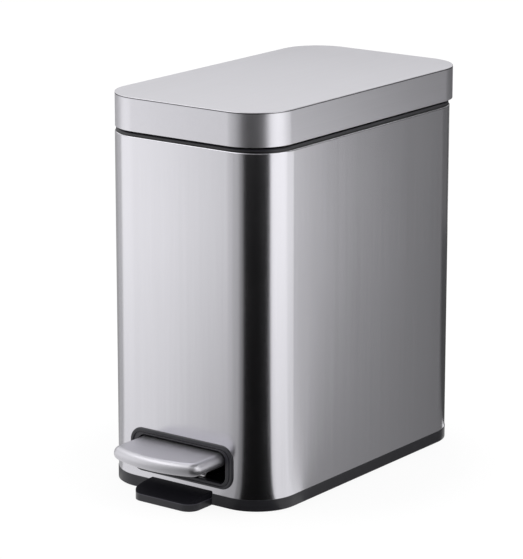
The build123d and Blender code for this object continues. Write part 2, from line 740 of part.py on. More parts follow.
PANEL_DEPTH = LID_DEPTH - LINER_MARGIN - PANEL_REAR_MARGIN
PANEL_Y = LID_FRONT + LINER_MARGIN + PANEL_DEPTH / 2

# Side view of a lug's arm, in (y, z) from the hinge's axis.
LUG_ARM = ((-2.6, 3.6), (-7.5, 9.5), (-18.0, 9.5), (-3.9, -2.2), (0.0, 0.0))

with BuildPart() as lid_liner:
    with BuildSketch(lid_plane(LINER_UNDER)):
        add(lid_outline(LINER_EDGE))
    extrude(amount=MOULDED)
    with BuildSketch(lid_plane(LINER_UNDER)):
        add(lid_outline(LINER_EDGE))
        add(lid_outline(LINER_EDGE + MOULDED), mode=Mode.SUBTRACT)
    extrude(amount=LINER_WALL_TOP - LINER_UNDER)
    with BuildSketch(Plane((0, PANEL_Y, LINER_UNDER))):
        RectangleRounded(LID_WIDTH - 2 * LINER_MARGIN, PANEL_DEPTH, PANEL_CORNER)
    extrude(amount=LINER_RISE + MOULDED)
    with BuildSketch(Plane((0, PANEL_Y, LINER_UNDER))):
        RectangleRounded(
            LID_WIDTH - 2 * LINER_MARGIN - 2 * MOULDED,
            PANEL_DEPTH - 2 * MOULDED,
            PANEL_CORNER - MOULDED,
        )
    extrude(amount=LINER_RISE, mode=Mode.SUBTRACT)
    # Hinge lugs: the arm leaves the barrel forwards, clear of the sleeve's edge.
    for side in (-1, 1):
        with BuildSketch(side_plane(side * HINGE_X)):
            with Locations((HINGE_Y, HINGE_Z)):
                Circle(HINGE_BARREL_R)
            with BuildLine():
                Polyline([(HINGE_Y + y, HINGE_Z + z) for y, z in LUG_ARM], close=True)
            make_face()
        extrude(amount=LUG_WIDTH / 2, both=True)
    with Locations((0, HINGE_Y, HINGE_Z)):
        Cylinder(HINGE_PIN_R + RUNNING, HINGE_BORE_LENGTH, rotation=(0, 90, 0), mode=Mode.SUBTRACT)
    # Crank: a plate hanging from the flange, with an eye for the rod's hook.
    with BuildSketch(side_plane(CRANK_X)):
        with Locations((CRANK_Y, CRANK_Z)):
            Circle(CRANK_EYE_R)
        with BuildLine():
            Polyline(
                (CRANK_Y - CRANK_EYE_R, CRANK_Z),
                (CRANK_Y + CRANK_EYE_R, CRANK_Z),
                (HINGE_Y - CRANK_ROOT_REAR, LINER_UNDER + PLATE_ROOT),
                (HINGE_Y - CRANK_ROOT_FRONT, LINER_UNDER + PLATE_ROOT),
                close=True,
            )
        make_face()
        with Locations((CRANK_Y, CRANK_Z)):
            Circle(ROD_R + RUNNING, mode=Mode.SUBTRACT)
    extrude(amount=CRANK_WIDTH / 2, both=True)

# ------------------------------------------------------------------- lid_bumpers
BUMPER_R = 2.3
BUMPER_SIDE_X = 73.9
BUMPER_SIDE_Y = BODY_Y + 62.0
BUMPER_FRONT_X = 36.0
BUMPER_FRONT_Y = FRONT + 3.3
BUMPER_GAP = 0.3
BUMPER_EDGE = 0.6

with BuildPart() as lid_bumpers:
    with BuildSketch(Plane.XY.offset(RING_TOP + BUMPER_GAP)):
        for side in (-1, 1):
            with Locations(
                (side * BUMPER_SIDE_X, BUMPER_SIDE_Y),
                (side * BUMPER_FRONT_X, BUMPER_FRONT_Y),
            ):
                Circle(BUMPER_R)
    extrude(amount=LINER_UNDER - RING_TOP - BUMPER_GAP)
    chamfer(lid_bumpers.faces().group_by(Axis.Z)[0].edges(), BUMPER_EDGE)

# ------------------------------------------------------------------ inner_bucket
def tub(inset, bottom_round):
    """The bucket's drafted block below its rim, drawn in by inset."""
    with BuildPart() as block:
        with BuildSketch(Plane((0, WELL_Y, LEDGE_TOP))):
            add(well_outline(BUCKET_NECK + inset))
        extrude(amount=-(LEDGE_TOP - BUCKET_BOTTOM - inset), taper=BUCKET_TAPER)
        fillet(block.faces().sort_by(Axis.Z)[0].edges(), bottom_round)
    return block.part


# It hangs in the well by its rim.
with BuildPart() as inner_bucket:
    add(tub(0, BUCKET_BOTTOM_ROUND))
    with BuildSketch(Plane((0, WELL_Y, LEDGE_TOP))):
        add(well_outline(BUCKET_PLAY))
    extrude(amount=BUCKET_RIM)
    add(tub(BUCKET_WALL, BUCKET_BOTTOM_ROUND - BUCKET_WALL), mode=Mode.SUBTRACT)
    with BuildSketch(Plane((0, WELL_Y, LEDGE_TOP))):
        add(well_outline(BUCKET_NECK + BUCKET_WALL))
    extrude(amount=BUCKET_RIM, mode=Mode.SUBTRACT)

PIECES = {
    "outer_shell": outer_shell,
    "top_ring": top_ring,
    "base": base,
    "rubber_feet": rubber_feet,
    "pedal_bezel": pedal_bezel,
    "pedal_pivot_pin": pedal_pivot_pin,
    "pivot_caps": pivot_caps,
    "pivot_screws": pivot_screws,
    "damper_cylinder": damper_cylinder,
    "damper_plunger": damper_plunger,
    "hinge_pins": hinge_pins,
    "lid_shell": lid_shell,
    "lid_liner": lid_liner,
    "lid_bumpers": lid_bumpers,
    "pedal_cap": pedal_cap,
    "pedal_core": pedal_core,
    "pedal_lever": pedal_lever,
    "pivot_bushings": pivot_bushings,
    "push_rod": push_rod,
    "rod_clips": rod_clips,
    "inner_bucket": inner_bucket,
}

for name, piece in PIECES.items():
    save(piece.part, name)
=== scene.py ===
"""Slim steel step bin: the finished pieces, their materials and a plain studio.

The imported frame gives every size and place.  Metres, +Z up, the pedal faces -Y.
"""

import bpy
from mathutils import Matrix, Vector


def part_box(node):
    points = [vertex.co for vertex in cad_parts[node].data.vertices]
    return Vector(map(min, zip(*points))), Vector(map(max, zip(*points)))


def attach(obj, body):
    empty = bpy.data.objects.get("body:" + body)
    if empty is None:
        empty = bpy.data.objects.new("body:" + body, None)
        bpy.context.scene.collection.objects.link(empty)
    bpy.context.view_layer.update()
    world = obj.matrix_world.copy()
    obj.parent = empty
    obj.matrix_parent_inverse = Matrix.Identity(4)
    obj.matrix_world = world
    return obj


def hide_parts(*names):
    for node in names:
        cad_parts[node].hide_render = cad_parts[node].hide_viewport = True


bl_info = {
    "name": "Step Bin Dresser",
    "version": (1, 0, 0),
    "blender": (4, 5, 0),
    "location": "View3D > Sidebar > Step Bin",
    "description": "Builds the finished pieces, materials and studio of a slim steel step bin",
    "category": "Object",
}

from math import asin, cos, radians

import bmesh
import bpy
from bpy.props import FloatProperty, FloatVectorProperty, PointerProperty
from mathutils import Matrix, Vector

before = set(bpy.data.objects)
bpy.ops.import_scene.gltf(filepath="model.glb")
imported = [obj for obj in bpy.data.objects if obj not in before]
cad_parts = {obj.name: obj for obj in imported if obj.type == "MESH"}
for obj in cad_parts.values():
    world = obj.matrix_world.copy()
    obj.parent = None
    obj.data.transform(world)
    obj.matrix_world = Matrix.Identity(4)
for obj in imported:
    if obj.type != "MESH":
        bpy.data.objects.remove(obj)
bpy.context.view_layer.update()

MM = 0.001

# An edge that turns by more than this stays sharp, and points nearer than this are one.
CREASE = radians(32)
SAME = 1e-6

SLEEVE_LOW, SLEEVE_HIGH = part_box("outer_shell")
LID_LOW, LID_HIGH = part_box("lid_shell")
PEDAL_LOW, PEDAL_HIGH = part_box("pedal_cap")
FRONT = SLEEVE_LOW.y

# The sleeve's window leaves this much of the pedal frame's box uncut on its steel.
WINDOW_SIDE = 0.0055
WINDOW_BOTTOM = 0.0025
WINDOW_TOP = 0.0047

# Where the frame's lip and its land end: half the width, then the two heights.
LIP_OPENING = (46.4 * MM, 15.5 * MM, 46.5 * MM)
PEDAL_OPENING = (41.9 * MM, 17.1 * MM, 44.1 * MM)
FRAME_LIP = 0.5 * MM
FRAME_WALL = 0.5 * MM

# The steps down from the pedal frame's lip into its groove and up to its land, then
# the land's rounded inner edge, as widths and heights in millimetres.
FRAME_STEPS = (
    (0.30, -0.06), (0.25, -0.14), (0.15, -0.25), (0.06, -0.55),
    (0.90, 0.00), (0.06, 0.35), (0.12, 0.15), (0.20, 0.10),
)
LAND_STEPS = ((0.30, -0.06), (0.25, -0.17), (0.15, -0.30))

# The seam pressed round the lid: half its height, the slope of its walls, its depth,
# and half the height of the painted shadow that lies in it.
SEAM_HALF = 0.3 * MM
SEAM_SLOPE = 0.05 * MM
SEAM_DEPTH = 0.25 * MM
SEAM_SHADOW_HALF = 0.31 * MM

# The toe's rounded upper rim, and how its top falls away towards the front.
TOE_RIM = 1.0 * MM
TOE_CUTS = 10
TOE_FALL = 1.9

# The toe is painted paler up to this height, as painted light, and darker over it. Over
# this the painted light fades out, and the painted highlight line along its top has its middle
# this much higher, with this much to either side.
TOE_PAINTED_LIGHT = 5.8 * MM
PAINTED_LIGHT_FADE = 0.8 * MM
HIGHLIGHT_RIM = 0.2 * MM
HIGHLIGHT_RIM_HALF = 0.35 * MM

# How far the skirt stands in front of the sleeve, the radius of the ring's edges, and
# the painted shadow line low on the ring: its height above the sleeve and half its own height.
SKIRT_STEP = 0.31 * MM
RING_EDGE = 0.25 * MM
RING_SEAM = 0.5 * MM
RING_SHADOW_HALF = 0.5 * MM

# The lever's turned-in end: two corners, from the front of the sleeve, in millimetres.
LIP_LOW = (10.6, 6.0, 15.6)
LIP_HIGH = (17.4, 8.8, 19.8)
LIP_ROUND = 1.35 * MM

# Cards that only mirrored light sees, most of them on the floor.  Bearings run from 0
# in front of the bin to 90 at its right.  Each card has a pivot, a first and a last
# bearing, the height of its upturned end and two levels.  Some also have the share of
# their level that is left on the upturned end, then the direction in which the level
# changes and how far along it the first and the second level are reached.
NEAR = (0.045, FRONT + 0.034, 0)
SIDE = (SLEEVE_HIGH.x, FRONT + 0.046, 0.0004)
REAR = (0.045, 0.114, 0.0008)
CARDS = {
    "far_left_card": (NEAR, -170, -99, 0.2, (0.42, 0.42)),
    "turn_card": (NEAR, -99, -79, 0.5, (0.58, 0.58)),
    "left_card": (NEAR, -79, -24, 0.9, (1.12, 0.66), 0.78, (0.8, -0.6, 0), (-0.045, 0.02)),
    "dim_card": (NEAR, -24, -6, 0.9, (0.55, 0.55)),
    "dusk_card": (NEAR, -6, 4, 0.9, (0.3, 0.3)),
    "front_card": (NEAR, 4, 70, 0.9, (0.004, 0.004), 62),
    "right_card": (NEAR, 70, 116, 0.9, (1.2, 1.2), 1.35),
    "edge_card": (NEAR, 116, 142, 0.9, (1.1, 1.0), 0, (0.78, -0.63, 0), (0.0, 0.1)),
    "side_card": (SIDE, 143, 180, 1.3, (0.41, 0.15), 0.1, (-0.8, 0.6, 0), (0.0, 0.17)),
    "rear_card": (REAR, 152, 245, 0.48, (0.08, 0.08)),
    "back_card": ((0, 0, 0.9), 150, 280, -0.6, (0.0, 1.0), 2.5, (0, 0, 1), (-0.5, -0.1)),
    "top_card": ((0, 0, 1.1), 0, 175, 0.0, (0.04, 0.04)),
}

# A card's profile: where its flat part starts, where it folds up and where it ends,
# and its height above the floor.  Its level rises a little from the pivot outwards.
CARD_HUB = 0.001
CARD_FOLD = 0.9
CARD_END = 1.0
CARD_LIFT = 0.0006
CARD_STEPS = 24
CARD_REACH = (0.1, 0.9)
CARD_LEVELS = (0.8, 1.05)
CREST_REACH = (0.92, 1.0)

# The floor is plain paper in the bin's shadow and turns white between these distances.
FLOOR_HALF = 8.0
SHADOW_REACH = (0.12, 0.23)
SHADOW_LEVELS = (0.88, 1.0)
PAPER = (0.85, 0.85, 0.85, 1.0)
WHITE = (1.0, 1.0, 1.0, 1.0)
SKY_GREY = (0.53, 0.53, 0.53, 1.0)
WHITE_STRENGTH = 1.03

# The two lamps: place and size.
KEY_LAMP = ((-1.2, -1.2, 1.4), 1.8)
FILL_LAMP = ((1.2, 0.8, 1.1), 1.2)
LAMP_AIM = Vector((0, 0, 0.15))
SENSOR = 36.0


# ------------------------------------------------------------------ settings
class BinShape(bpy.types.PropertyGroup):
    """Sizes of the finished pieces that the frame's boxes don't give."""

    sleeve_corner: FloatProperty(
        name="Sleeve corner",
        description="Radius of the sleeve's upright corners",
        default=34 * MM,
        unit="LENGTH",
    )
    sleeve_sheet: FloatProperty(
        name="Sleeve sheet",
        description="Thickness of the sleeve's steel",
        default=0.6 * MM,
        unit="LENGTH",
    )
    sleeve_roll: FloatProperty(
        name="Sleeve roll",
        description="Radius that turns the sleeve's upper edge in under the ring",
        default=0.9 * MM,
        unit="LENGTH",
    )
    lid_corner: FloatProperty(
        name="Lid corner",
        description="Radius of the lid's upright corners",
        default=33.5 * MM,
        unit="LENGTH",
    )
    lid_edge: FloatProperty(
        name="Lid edge",
        description="Radius between the lid's top and its sides",
        default=0.3 * MM,
        unit="LENGTH",
    )
    lid_sheet: FloatProperty(
        name="Lid sheet",
        description="Thickness of the lid's steel",
        default=0.8 * MM,
        unit="LENGTH",
    )
    pedal_bow: FloatProperty(
        name="Pedal bow",
        description="How far the pedal's front edge swells between its corners",
        default=8.5 * MM,
        unit="LENGTH",
    )
    pedal_corner: FloatProperty(
        name="Pedal corner",
        description="Radius of the pedal's front corners, seen from above",
        default=9 * MM,
        unit="LENGTH",
    )
    pedal_edge: FloatProperty(
        name="Pedal edge",
        description="Radius of the rolled edge round the pedal",
        default=5.2 * MM,
        unit="LENGTH",
    )
    frame_corner: FloatProperty(
        name="Frame corner",
        description="Outer corner radius of the frame round the pedal",
        default=11 * MM,
        unit="LENGTH",
    )
    frame_roll: FloatProperty(
        name="Frame roll",
        description="Radius of the frame's rolled outer edge",
        default=1.0 * MM,
        unit="LENGTH",
    )
    lid_seam: FloatProperty(
        name="Lid seam",
        description="Height of the seam under the lid's top plate, below the top",
        default=0.75 * MM,
        unit="LENGTH",
    )
    toe_half: FloatProperty(
        name="Toe half width",
        description="Half the width of the toe in front of the skirt",
        default=28.8 * MM,
        unit="LENGTH",
    )
    toe_corner: FloatProperty(
        name="Toe corner",
        description="Radius of the toe's front corners, seen from above",
        default=9.5 * MM,
        unit="LENGTH",
    )
    toe_back: FloatProperty(
        name="Toe back",
        description="Height of the toe where it meets the sleeve",
        default=11.2 * MM,
        unit="LENGTH",
    )
    toe_front: FloatProperty(
        name="Toe front",
        description="Height of the toe's front edge",
        default=7.0 * MM,
        unit="LENGTH",
    )


class BinFinish(bpy.types.PropertyGroup):
    """Colours and gloss of the materials."""

    steel: FloatVectorProperty(
        name="Steel",
        description="Colour of the brushed stainless sheet",
        default=(0.68, 0.672, 0.712),
        subtype="COLOR",
        size=3,
    )
    sleeve_gloss: FloatProperty(
        name="Sleeve roughness",
        description="Roughness of the sleeve's brushed face",
        default=0.20,
        min=0,
        max=1,
        subtype="FACTOR",
    )
    lid_gloss: FloatProperty(
        name="Lid roughness",
        description="Roughness of the lid's brushed face",
        default=0.34,
        min=0,
        max=1,
        subtype="FACTOR",
    )
    pedal_gloss: FloatProperty(
        name="Pedal roughness",
        description="Roughness of the satin pedal",
        default=0.43,
        min=0,
        max=1,
        subtype="FACTOR",
    )
    black: FloatVectorProperty(
        name="Black plastic",
        description="Colour of the black mouldings",
        default=(0.0168, 0.0164, 0.0208),
        subtype="COLOR",
        size=3,
    )
    grey: FloatVectorProperty(
        name="Grey plastic",
        description="Colour of the bucket and the damper",
        default=(0.13, 0.135, 0.14),
        subtype="COLOR",
        size=3,
    )


class BinStudio(bpy.types.PropertyGroup):
    """The lamps and the camera."""

    eye: FloatVectorProperty(
        name="Camera",
        description="Where the camera stands",
        default=(1.2809, -1.73335, 0.7018),
        subtype="TRANSLATION",
        size=3,
    )
    heading: FloatProperty(
        name="Heading",
        description="Turn of the camera from +Y towards -X",
        default=radians(36.668),
        subtype="ANGLE",
    )
    pitch: FloatProperty(
        name="Pitch",
        description="How far the camera looks down",
        default=radians(14.470),
        subtype="ANGLE",
    )
    lens: FloatProperty(
        name="Lens",
        description="Focal length in millimetres",
        default=187.0,
        unit="CAMERA",
    )
    key_power: FloatProperty(
        name="Key lamp",
        description="Power of the large lamp in front, in watts",
        default=16.0,
        unit="POWER",
    )
    fill_power: FloatProperty(
        name="Fill lamp",
        description="Power of the large lamp at the right, in watts",
        default=8.0,
        unit="POWER",
    )


# ----------------------------------------------------------------- shader maths
class Wire:
    """A node's output, used in Python arithmetic that adds the Math nodes."""

    def __init__(self, nodes, socket):
        self.nodes = nodes
        self.socket = socket

    def _math(self, operation, first, second):
        return self.nodes.node(
            "ShaderNodeMath", {"operation": operation}, {0: first, 1: second}
        )

    def __add__(self, other):
        return self._math("ADD", self, other)

    __radd__ = __add__

    def __sub__(self, other):
        return self._math("SUBTRACT", self, other)

    def __rsub__(self, other):
        return self._math("SUBTRACT", other, self)

    def __mul__(self, other):
        return self._math("MULTIPLY", self, other)

    __rmul__ = __mul__


class Nodes:
    """A node tree that is being filled."""

    def __init__(self, tree):
        self.tree = tree
        self.tree.nodes.clear()

    def node(self, kind, settings=None, values=None, out=0):
        """Add a node, give it its settings and then its sockets, and return one output."""
        made = self.tree.nodes.new(kind)
        for name, setting in (settings or {}).items():
            setattr(made, name, setting)
        for place, value in (values or {}).items():
            self.feed(made.inputs[place], value)
        return Wire(self, made.outputs[out]) if made.outputs else made

    def feed(self, target, value):
        """Give a socket a value or link a wire to it."""
        if isinstance(value, Wire):
            self.tree.links.new(value.socket, target)
        else:
            target.default_value = value

    def mix(self, factor, low, high):
        """Blend two colours."""
        return self.node(
            "ShaderNodeMix", {"data_type": "RGBA"}, {0: factor, 6: low, 7: high}, out=2
        )

    def map_range(self, value, reach, levels, kind="LINEAR"):
        """Turn a value between two reaches into a value between two levels."""
        values = {
            "Value": value,
            "From Min": reach[0],
            "From Max": reach[1],
            "To Min": levels[0],
            "To Max": levels[1],
        }
        return self.node("ShaderNodeMapRange", {"interpolation_type": kind}, values)

    def seen(self):
        """1 for rays that show a background: from the camera, off gloss or through glass."""
        rays = ("Is Camera Ray", "Is Glossy Ray", "Is Transmission Ray")
        camera, glossy, through = (self.node("ShaderNodeLightPath", out=ray) for ray in rays)
        return camera + glossy + through


class Finish(Nodes):
    """A procedural material whose patterns sit on the piece's own coordinates."""

    def __init__(self, name):
        self.material = bpy.data.materials.new(name)
        self.material.use_nodes = True
        super().__init__(self.material.node_tree)
        self.place = self.node("ShaderNodeTexCoord", out="Object")

    def height(self):
        """The height above the floor, in metres."""
        return self.node("ShaderNodeSeparateXYZ", {}, {"Vector": self.place}, out="Z")

    def band_at(self, middle, half):
        """1 between two heights, half to either side of the middle."""
        return self.node(
            "ShaderNodeMath", {"operation": "COMPARE"}, {0: self.height(), 1: middle, 2: half}
        )

    def away(self):
        """The distance from the piece's own origin, in metres."""
        return self.node("ShaderNodeVectorMath", {"operation": "LENGTH"}, {0: self.place}, "Value")

    def noise(self, pitch, detail=2.0, rough=0.5):
        """Soft noise whose grains are pitch long, in metres, along each axis."""
        spread = self.node(
            "ShaderNodeMapping",
            {"vector_type": "POINT"},
            {"Vector": self.place, "Scale": [1 / length for length in pitch]},
        )
        values = {"Vector": spread, "Scale": 1.0, "Detail": detail, "Roughness": rough}
        return self.node("ShaderNodeTexNoise", {"noise_dimensions": "3D"}, values)

    def cells(self, pitch):
        """Distance to the nearest of many scattered points, pitch apart."""
        values = {"Vector": self.place, "Scale": 1 / pitch}
        return self.node("ShaderNodeTexVoronoi", {"feature": "F1"}, values)

    def bump(self, height, depth):
        """A normal from a height of 0 to 1 that stands for depth, in metres."""
        values = {"Height": height, "Distance": depth, "Strength": 1.0}
        return self.node("ShaderNodeBump", {}, values)

    def surface(self, **sockets):
        """Finish the material with one shader; socket names are written with underscores."""
        values = {name.replace("_", " "): value for name, value in sockets.items()}
        shader = self.node("ShaderNodeBsdfPrincipled", {}, values)
        self.node("ShaderNodeOutputMaterial", {}, {"Surface": shader})
        return self.material


def shade(colour, level):
    """A colour made lighter or darker, as four numbers."""
    return (*(min(1.0, part * level) for part in colour), 1.0)


def brushed_steel(name, colour, gloss, fine, coarse, seam=None):
    """Brushed sheet: fine and coarse are the sizes of its lines along each axis.

    Seam is the height of a pressed line that runs round it, darkened with painted shadow.
    """
    made = Finish(name)
    line = made.noise(fine, 2.0, 0.6)
    band = made.noise(coarse, 2.0, 0.5)
    smear = made.noise((0.05, 0.05, 0.09), 3.0, 0.6)
    streak = line * 0.6 + band * 0.4
    tone = made.mix(streak, shade(colour, 0.92), shade(colour, 1.06))
    tone = made.mix(smear * 0.25, tone, shade(colour, 0.95))
    # Along the seam the steel is darkened almost to black: painted shadow in the groove.
    if seam:
        tone = made.mix(made.band_at(seam, SEAM_SHADOW_HALF) * 0.85, tone, shade(colour, 0.05))
    return made.surface(
        Base_Color=tone,
        Metallic=1.0,
        Roughness=gloss + (streak - 0.5) * 0.07 + (smear - 0.5) * 0.05,
        Normal=made.bump(streak, 0.000006),
    )


def moulded_plastic(name, colour, gloss, grain, depth, shine=0.5, painted_light_height=None, seam=None):
    """Moulded plastic with a fine spark-eroded grain.

    Of its two heights, the first is where painted light ends: under it the plastic is painted
    paler and given a coat, over it darker as painted shade, with a painted highlight line near
    it. Seam is the height of a painted shadow line that runs round it.
    """
    made = Finish(name)
    pores = made.cells(grain)
    cloud = made.noise((0.03, 0.03, 0.03), 3.0, 0.55)
    rub = made.noise((0.006, 0.006, 0.006), 4.0, 0.65)
    coat = {}
    # Painted light: paler under the height and darker over it as painted shade, with a painted
    # highlight line near it; the coat there is real gloss.
    if painted_light_height:
        reach = (painted_light_height, painted_light_height + PAINTED_LIGHT_FADE)
        lit_front_and_coat = made.map_range(made.height(), reach, (1.0, 0.0), "SMOOTHSTEP")
        edge_highlight = made.band_at(painted_light_height + HIGHLIGHT_RIM, HIGHLIGHT_RIM_HALF)
        tone = made.mix(lit_front_and_coat * (0.8 + cloud * 0.2), shade(colour, 0.8), shade(colour, 1.4))
        tone = made.mix(edge_highlight * 0.7, tone, shade(colour, 4.5))
        coat = {"Coat_Weight": lit_front_and_coat, "Coat_Roughness": 0.3}
    else:
        tone = made.mix(cloud, shade(colour, 0.85), shade(colour, 1.18))
        # A seam gets a painted shadow line, almost black.
        if seam:
            tone = made.mix(made.band_at(seam, RING_SHADOW_HALF) * 0.95, tone, shade(colour, 0.02))
        tone = made.mix(pores * 0.2, tone, shade(colour, 1.3))
    return made.surface(
        Base_Color=tone,
        Roughness=gloss + (cloud - 0.5) * 0.10 + (rub - 0.5) * 0.12,
        Specular_IOR_Level=shine,
        Normal=made.bump(pores * 0.7 + rub * 0.3, depth),
        **coat,
    )


def soft_rubber():
    """Matt rubber with a dusty bloom."""
    made = Finish("pad_rubber")
    dust = made.noise((0.004, 0.004, 0.004), 4.0, 0.7)
    speck = made.cells(0.0007)
    tone = made.mix(dust, (0.016, 0.016, 0.016, 1.0), (0.042, 0.042, 0.043, 1.0))
    return made.surface(
        Base_Color=tone,
        Roughness=0.78 + (dust - 0.5) * 0.2,
        Normal=made.bump(speck * 0.5 + dust * 0.5, 0.00005),
    )


def zinc_plate():
    """Bright zinc: small overlapping patches, slightly blue and yellow."""
    made = Finish("zinc_plate")
    patch = made.noise((0.008, 0.008, 0.008), 3.0, 0.6)
    line = made.noise((0.0006, 0.012, 0.0006), 2.0, 0.6)
    tone = made.mix(patch, (0.56, 0.58, 0.62, 1.0), (0.68, 0.66, 0.60, 1.0))
    return made.surface(
        Base_Color=made.mix(line * 0.4, tone, (0.48, 0.48, 0.50, 1.0)),
        Metallic=1.0,
        Roughness=0.30 + (patch - 0.5) * 0.14 + (line - 0.5) * 0.1,
        Normal=made.bump(line, 0.00001),
    )


def drawn_wire():
    """Bright drawn wire with die lines along its length."""
    made = Finish("drawn_wire")
    line = made.noise((0.0003, 0.0003, 0.03), 2.0, 0.6)
    dull = made.noise((0.01, 0.01, 0.03), 3.0, 0.6)
    return made.surface(
        Base_Color=made.mix(dull, (0.66, 0.66, 0.68, 1.0), (0.80, 0.79, 0.78, 1.0)),
        Metallic=1.0,
        Roughness=0.16 + line * 0.12 + dull * 0.08,
        Normal=made.bump(line, 0.000008),
    )


def white_nylon():
    """Machined nylon with faint turning marks."""
    made = Finish("white_nylon")
    ring = made.noise((0.0004, 0.004, 0.004), 2.0, 0.5)
    cloud = made.noise((0.01, 0.01, 0.01), 3.0, 0.5)
    tone = made.mix(cloud, (0.74, 0.73, 0.68, 1.0), (0.84, 0.83, 0.79, 1.0))
    return made.surface(
        Base_Color=tone,
        Roughness=0.40 + (ring - 0.5) * 0.15,
        Normal=made.bump(ring, 0.00002),
    )


# --------------------------------------------------------------- mesh operations
def round_edges(bm, edges, radius, steps, clamped=False):
    """Round edges to a radius, which clamped keeps within what the faces can give."""
    bmesh.ops.bevel(
        bm,
        geom=edges,
        offset=radius,
        offset_type="OFFSET",
        segments=steps,
        profile=0.5,
        affect="EDGES",
        material=-1,
        clamp_overlap=clamped,
    )


def block(low, high):
    """A box between two corners."""
    bm = bmesh.new()
    bmesh.ops.create_cube(bm, size=1.0)
    bmesh.ops.scale(bm, vec=high - low, verts=bm.verts)
    bmesh.ops.translate(bm, vec=(low + high) / 2, verts=bm.verts)
    return bm


def upright_edges(bm):
    """The edges that stand straight up."""
    return [e for e in bm.edges if (e.verts[0].co - e.verts[1].co).xy.length < SAME]


def level_edges(bm, z):
    """The edges that lie at height z."""
    return [e for e in bm.edges if all(abs(v.co.z - z) < SAME for v in e.verts)]


def rim_edges(bm):
    """The sharp edges."""
    return [e for e in bm.edges if len(e.link_faces) == 2 and e.calc_face_angle() > CREASE]


def level_faces(bm, z):
    """The faces that lie flat at height z."""
    return [f for f in bm.faces if all(abs(v.co.z - z) < SAME for v in f.verts)]


def drop_faces(bm, faces):
    """Delete faces and what only they used."""
    bmesh.ops.delete(bm, geom=faces, context="FACES")


def cut(bm, point, normal, clear=False):
    """Split the faces along a plane, and clear what lies behind it if that is asked."""
    bmesh.ops.bisect_plane(
        bm,
        geom=[*bm.verts, *bm.edges, *bm.faces],
        plane_co=point,
        plane_no=normal,
        dist=1e-7,
        clear_inner=clear,
    )


def traced(node):
    """A copy of a CAD node's mesh with its flat faces whole again."""
    bm = bmesh.new()
    bm.from_mesh(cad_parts[node].data)
    bmesh.ops.remove_doubles(bm, verts=bm.verts, dist=SAME)
    bmesh.ops.dissolve_limit(
        bm,
        angle_limit=radians(0.5),
        verts=bm.verts,
        edges=bm.edges,
        use_dissolve_boundaries=False,
    )
    return bm


def verts_of(geom):
    """The vertices among what an operator returned."""
    return [v for v in geom if isinstance(v, bmesh.types.BMVert)]


def make_piece(bm, name, material, body, stands_for=None):
    """Turn a finished mesh into a smooth-shaded piece that rides on a CAD body."""
    for face in bm.faces:
        face.smooth = True
    for edge in bm.edges:
        edge.smooth = len(edge.link_faces) == 2 and edge.calc_face_angle() < CREASE
    mesh = bpy.data.meshes.new(name)
    bm.to_mesh(mesh)
    bm.free()
    mesh.materials.append(material)
    piece = bpy.data.objects.new(name, mesh)
    bpy.context.scene.collection.objects.link(piece)
    weighted = piece.modifiers.new("flat_faces_lead", "WEIGHTED_NORMAL")
    weighted.keep_sharp = True
    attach(piece, body)
    if stands_for:
        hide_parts(stands_for)
    return piece


def paint(node, material):
    """Give a CAD node its finished material."""
    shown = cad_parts[node]
    shown.data.materials.clear()
    shown.data.materials.append(material)
    for face in shown.data.polygons:
        face.material_index = 0


# ---------------------------------------------------------------------- operators
class STEPBIN_OT_sleeve(bpy.types.Operator):
    """Build the wrapped steel sleeve with its window for the pedal"""

    bl_idname = "stepbin.sleeve"
    bl_label = "Sleeve"

    def execute(self, context):
        shape = context.scene.bin_shape
        look = context.scene.bin_finish
        bm = block(SLEEVE_LOW, SLEEVE_HIGH)
        round_edges(bm, upright_edges(bm), shape.sleeve_corner, 20)
        drop_faces(bm, level_faces(bm, SLEEVE_LOW.z))
        round_edges(bm, level_edges(bm, SLEEVE_HIGH.z), shape.sleeve_roll, 4)
        drop_faces(bm, level_faces(bm, SLEEVE_HIGH.z))
        self.open_window(bm)
        bmesh.ops.solidify(bm, geom=bm.faces, thickness=shape.sleeve_sheet)
        steel = brushed_steel(
            "sleeve_steel",
            look.steel,
            look.sleeve_gloss,
            (0.0006, 0.0006, 0.12),
            (0.004, 0.004, 0.4),
        )
        make_piece(bm, "steel_sleeve", steel, "housing", "outer_shell")
        return {"FINISHED"}

    def open_window(self, bm):
        """Cut the front face round the pedal frame's collar and take the middle out."""
        low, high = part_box("pedal_bezel")
        low = low + Vector((WINDOW_SIDE, 0, WINDOW_BOTTOM))
        high = high - Vector((WINDOW_SIDE, 0, WINDOW_TOP))
        for normal in ((1, 0, 0), (0, 0, 1)):
            for point in (low, high):
                cut(bm, point, normal)
        middle = []
        for face in bm.faces:
            at = face.calc_center_median()
            if at.y < FRONT + MM and low.x < at.x < high.x and low.z < at.z < high.z:
                middle.append(face)
        drop_faces(bm, middle)


